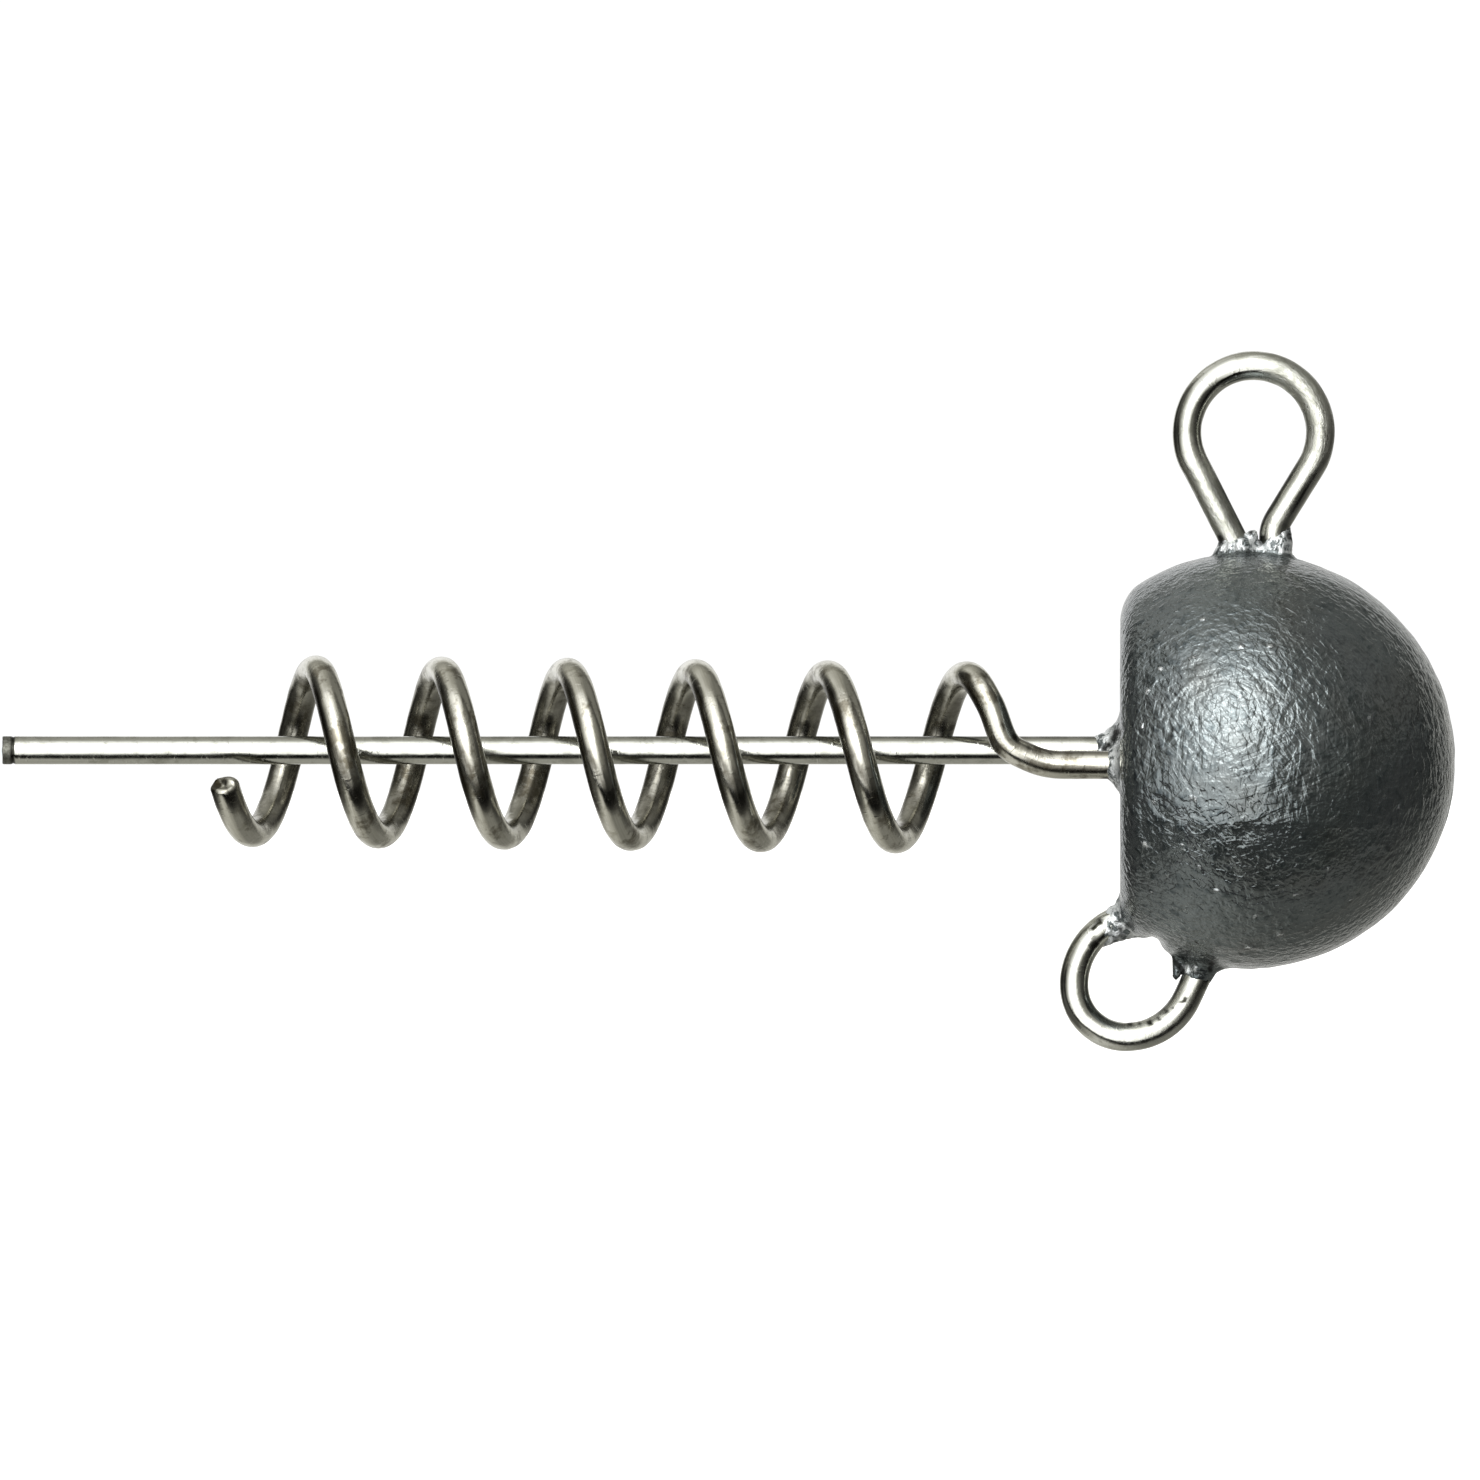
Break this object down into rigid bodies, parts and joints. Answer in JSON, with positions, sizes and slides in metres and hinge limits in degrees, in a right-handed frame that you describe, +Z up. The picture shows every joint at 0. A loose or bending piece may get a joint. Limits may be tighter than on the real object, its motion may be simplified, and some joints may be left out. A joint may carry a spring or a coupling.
{
  "type": "jig head",
  "caption": "Screw-in fishing jig head: a flat-backed lead ball with a line eye and a lower hook eye, and a corkscrew wire wound round a straight spike to hold a soft bait.",
  "frame": {"origin": "where the axis of the straight spike meets the flat back face of the lead ball", "axes": "+X along the spike towards the nose of the ball, +Z up towards the line eye, +Y across the mould's parting plane"},
  "size_m": [0.0547, 0.0156, 0.0263],
  "materials": {
    "cast_lead": "satin bare cast lead, blue-grey, finely scuffed",
    "frame_wire_steel": "bright drawn spring-steel wire, faint draw lines",
    "corkscrew_steel": "bright drawn spring-steel wire, coiled"
  },
  "bodies": {
    "root": {"lead_head": "cast_lead", "frame_wire": "frame_wire_steel", "corkscrew": "corkscrew_steel"}
  },
  "joints": []
}
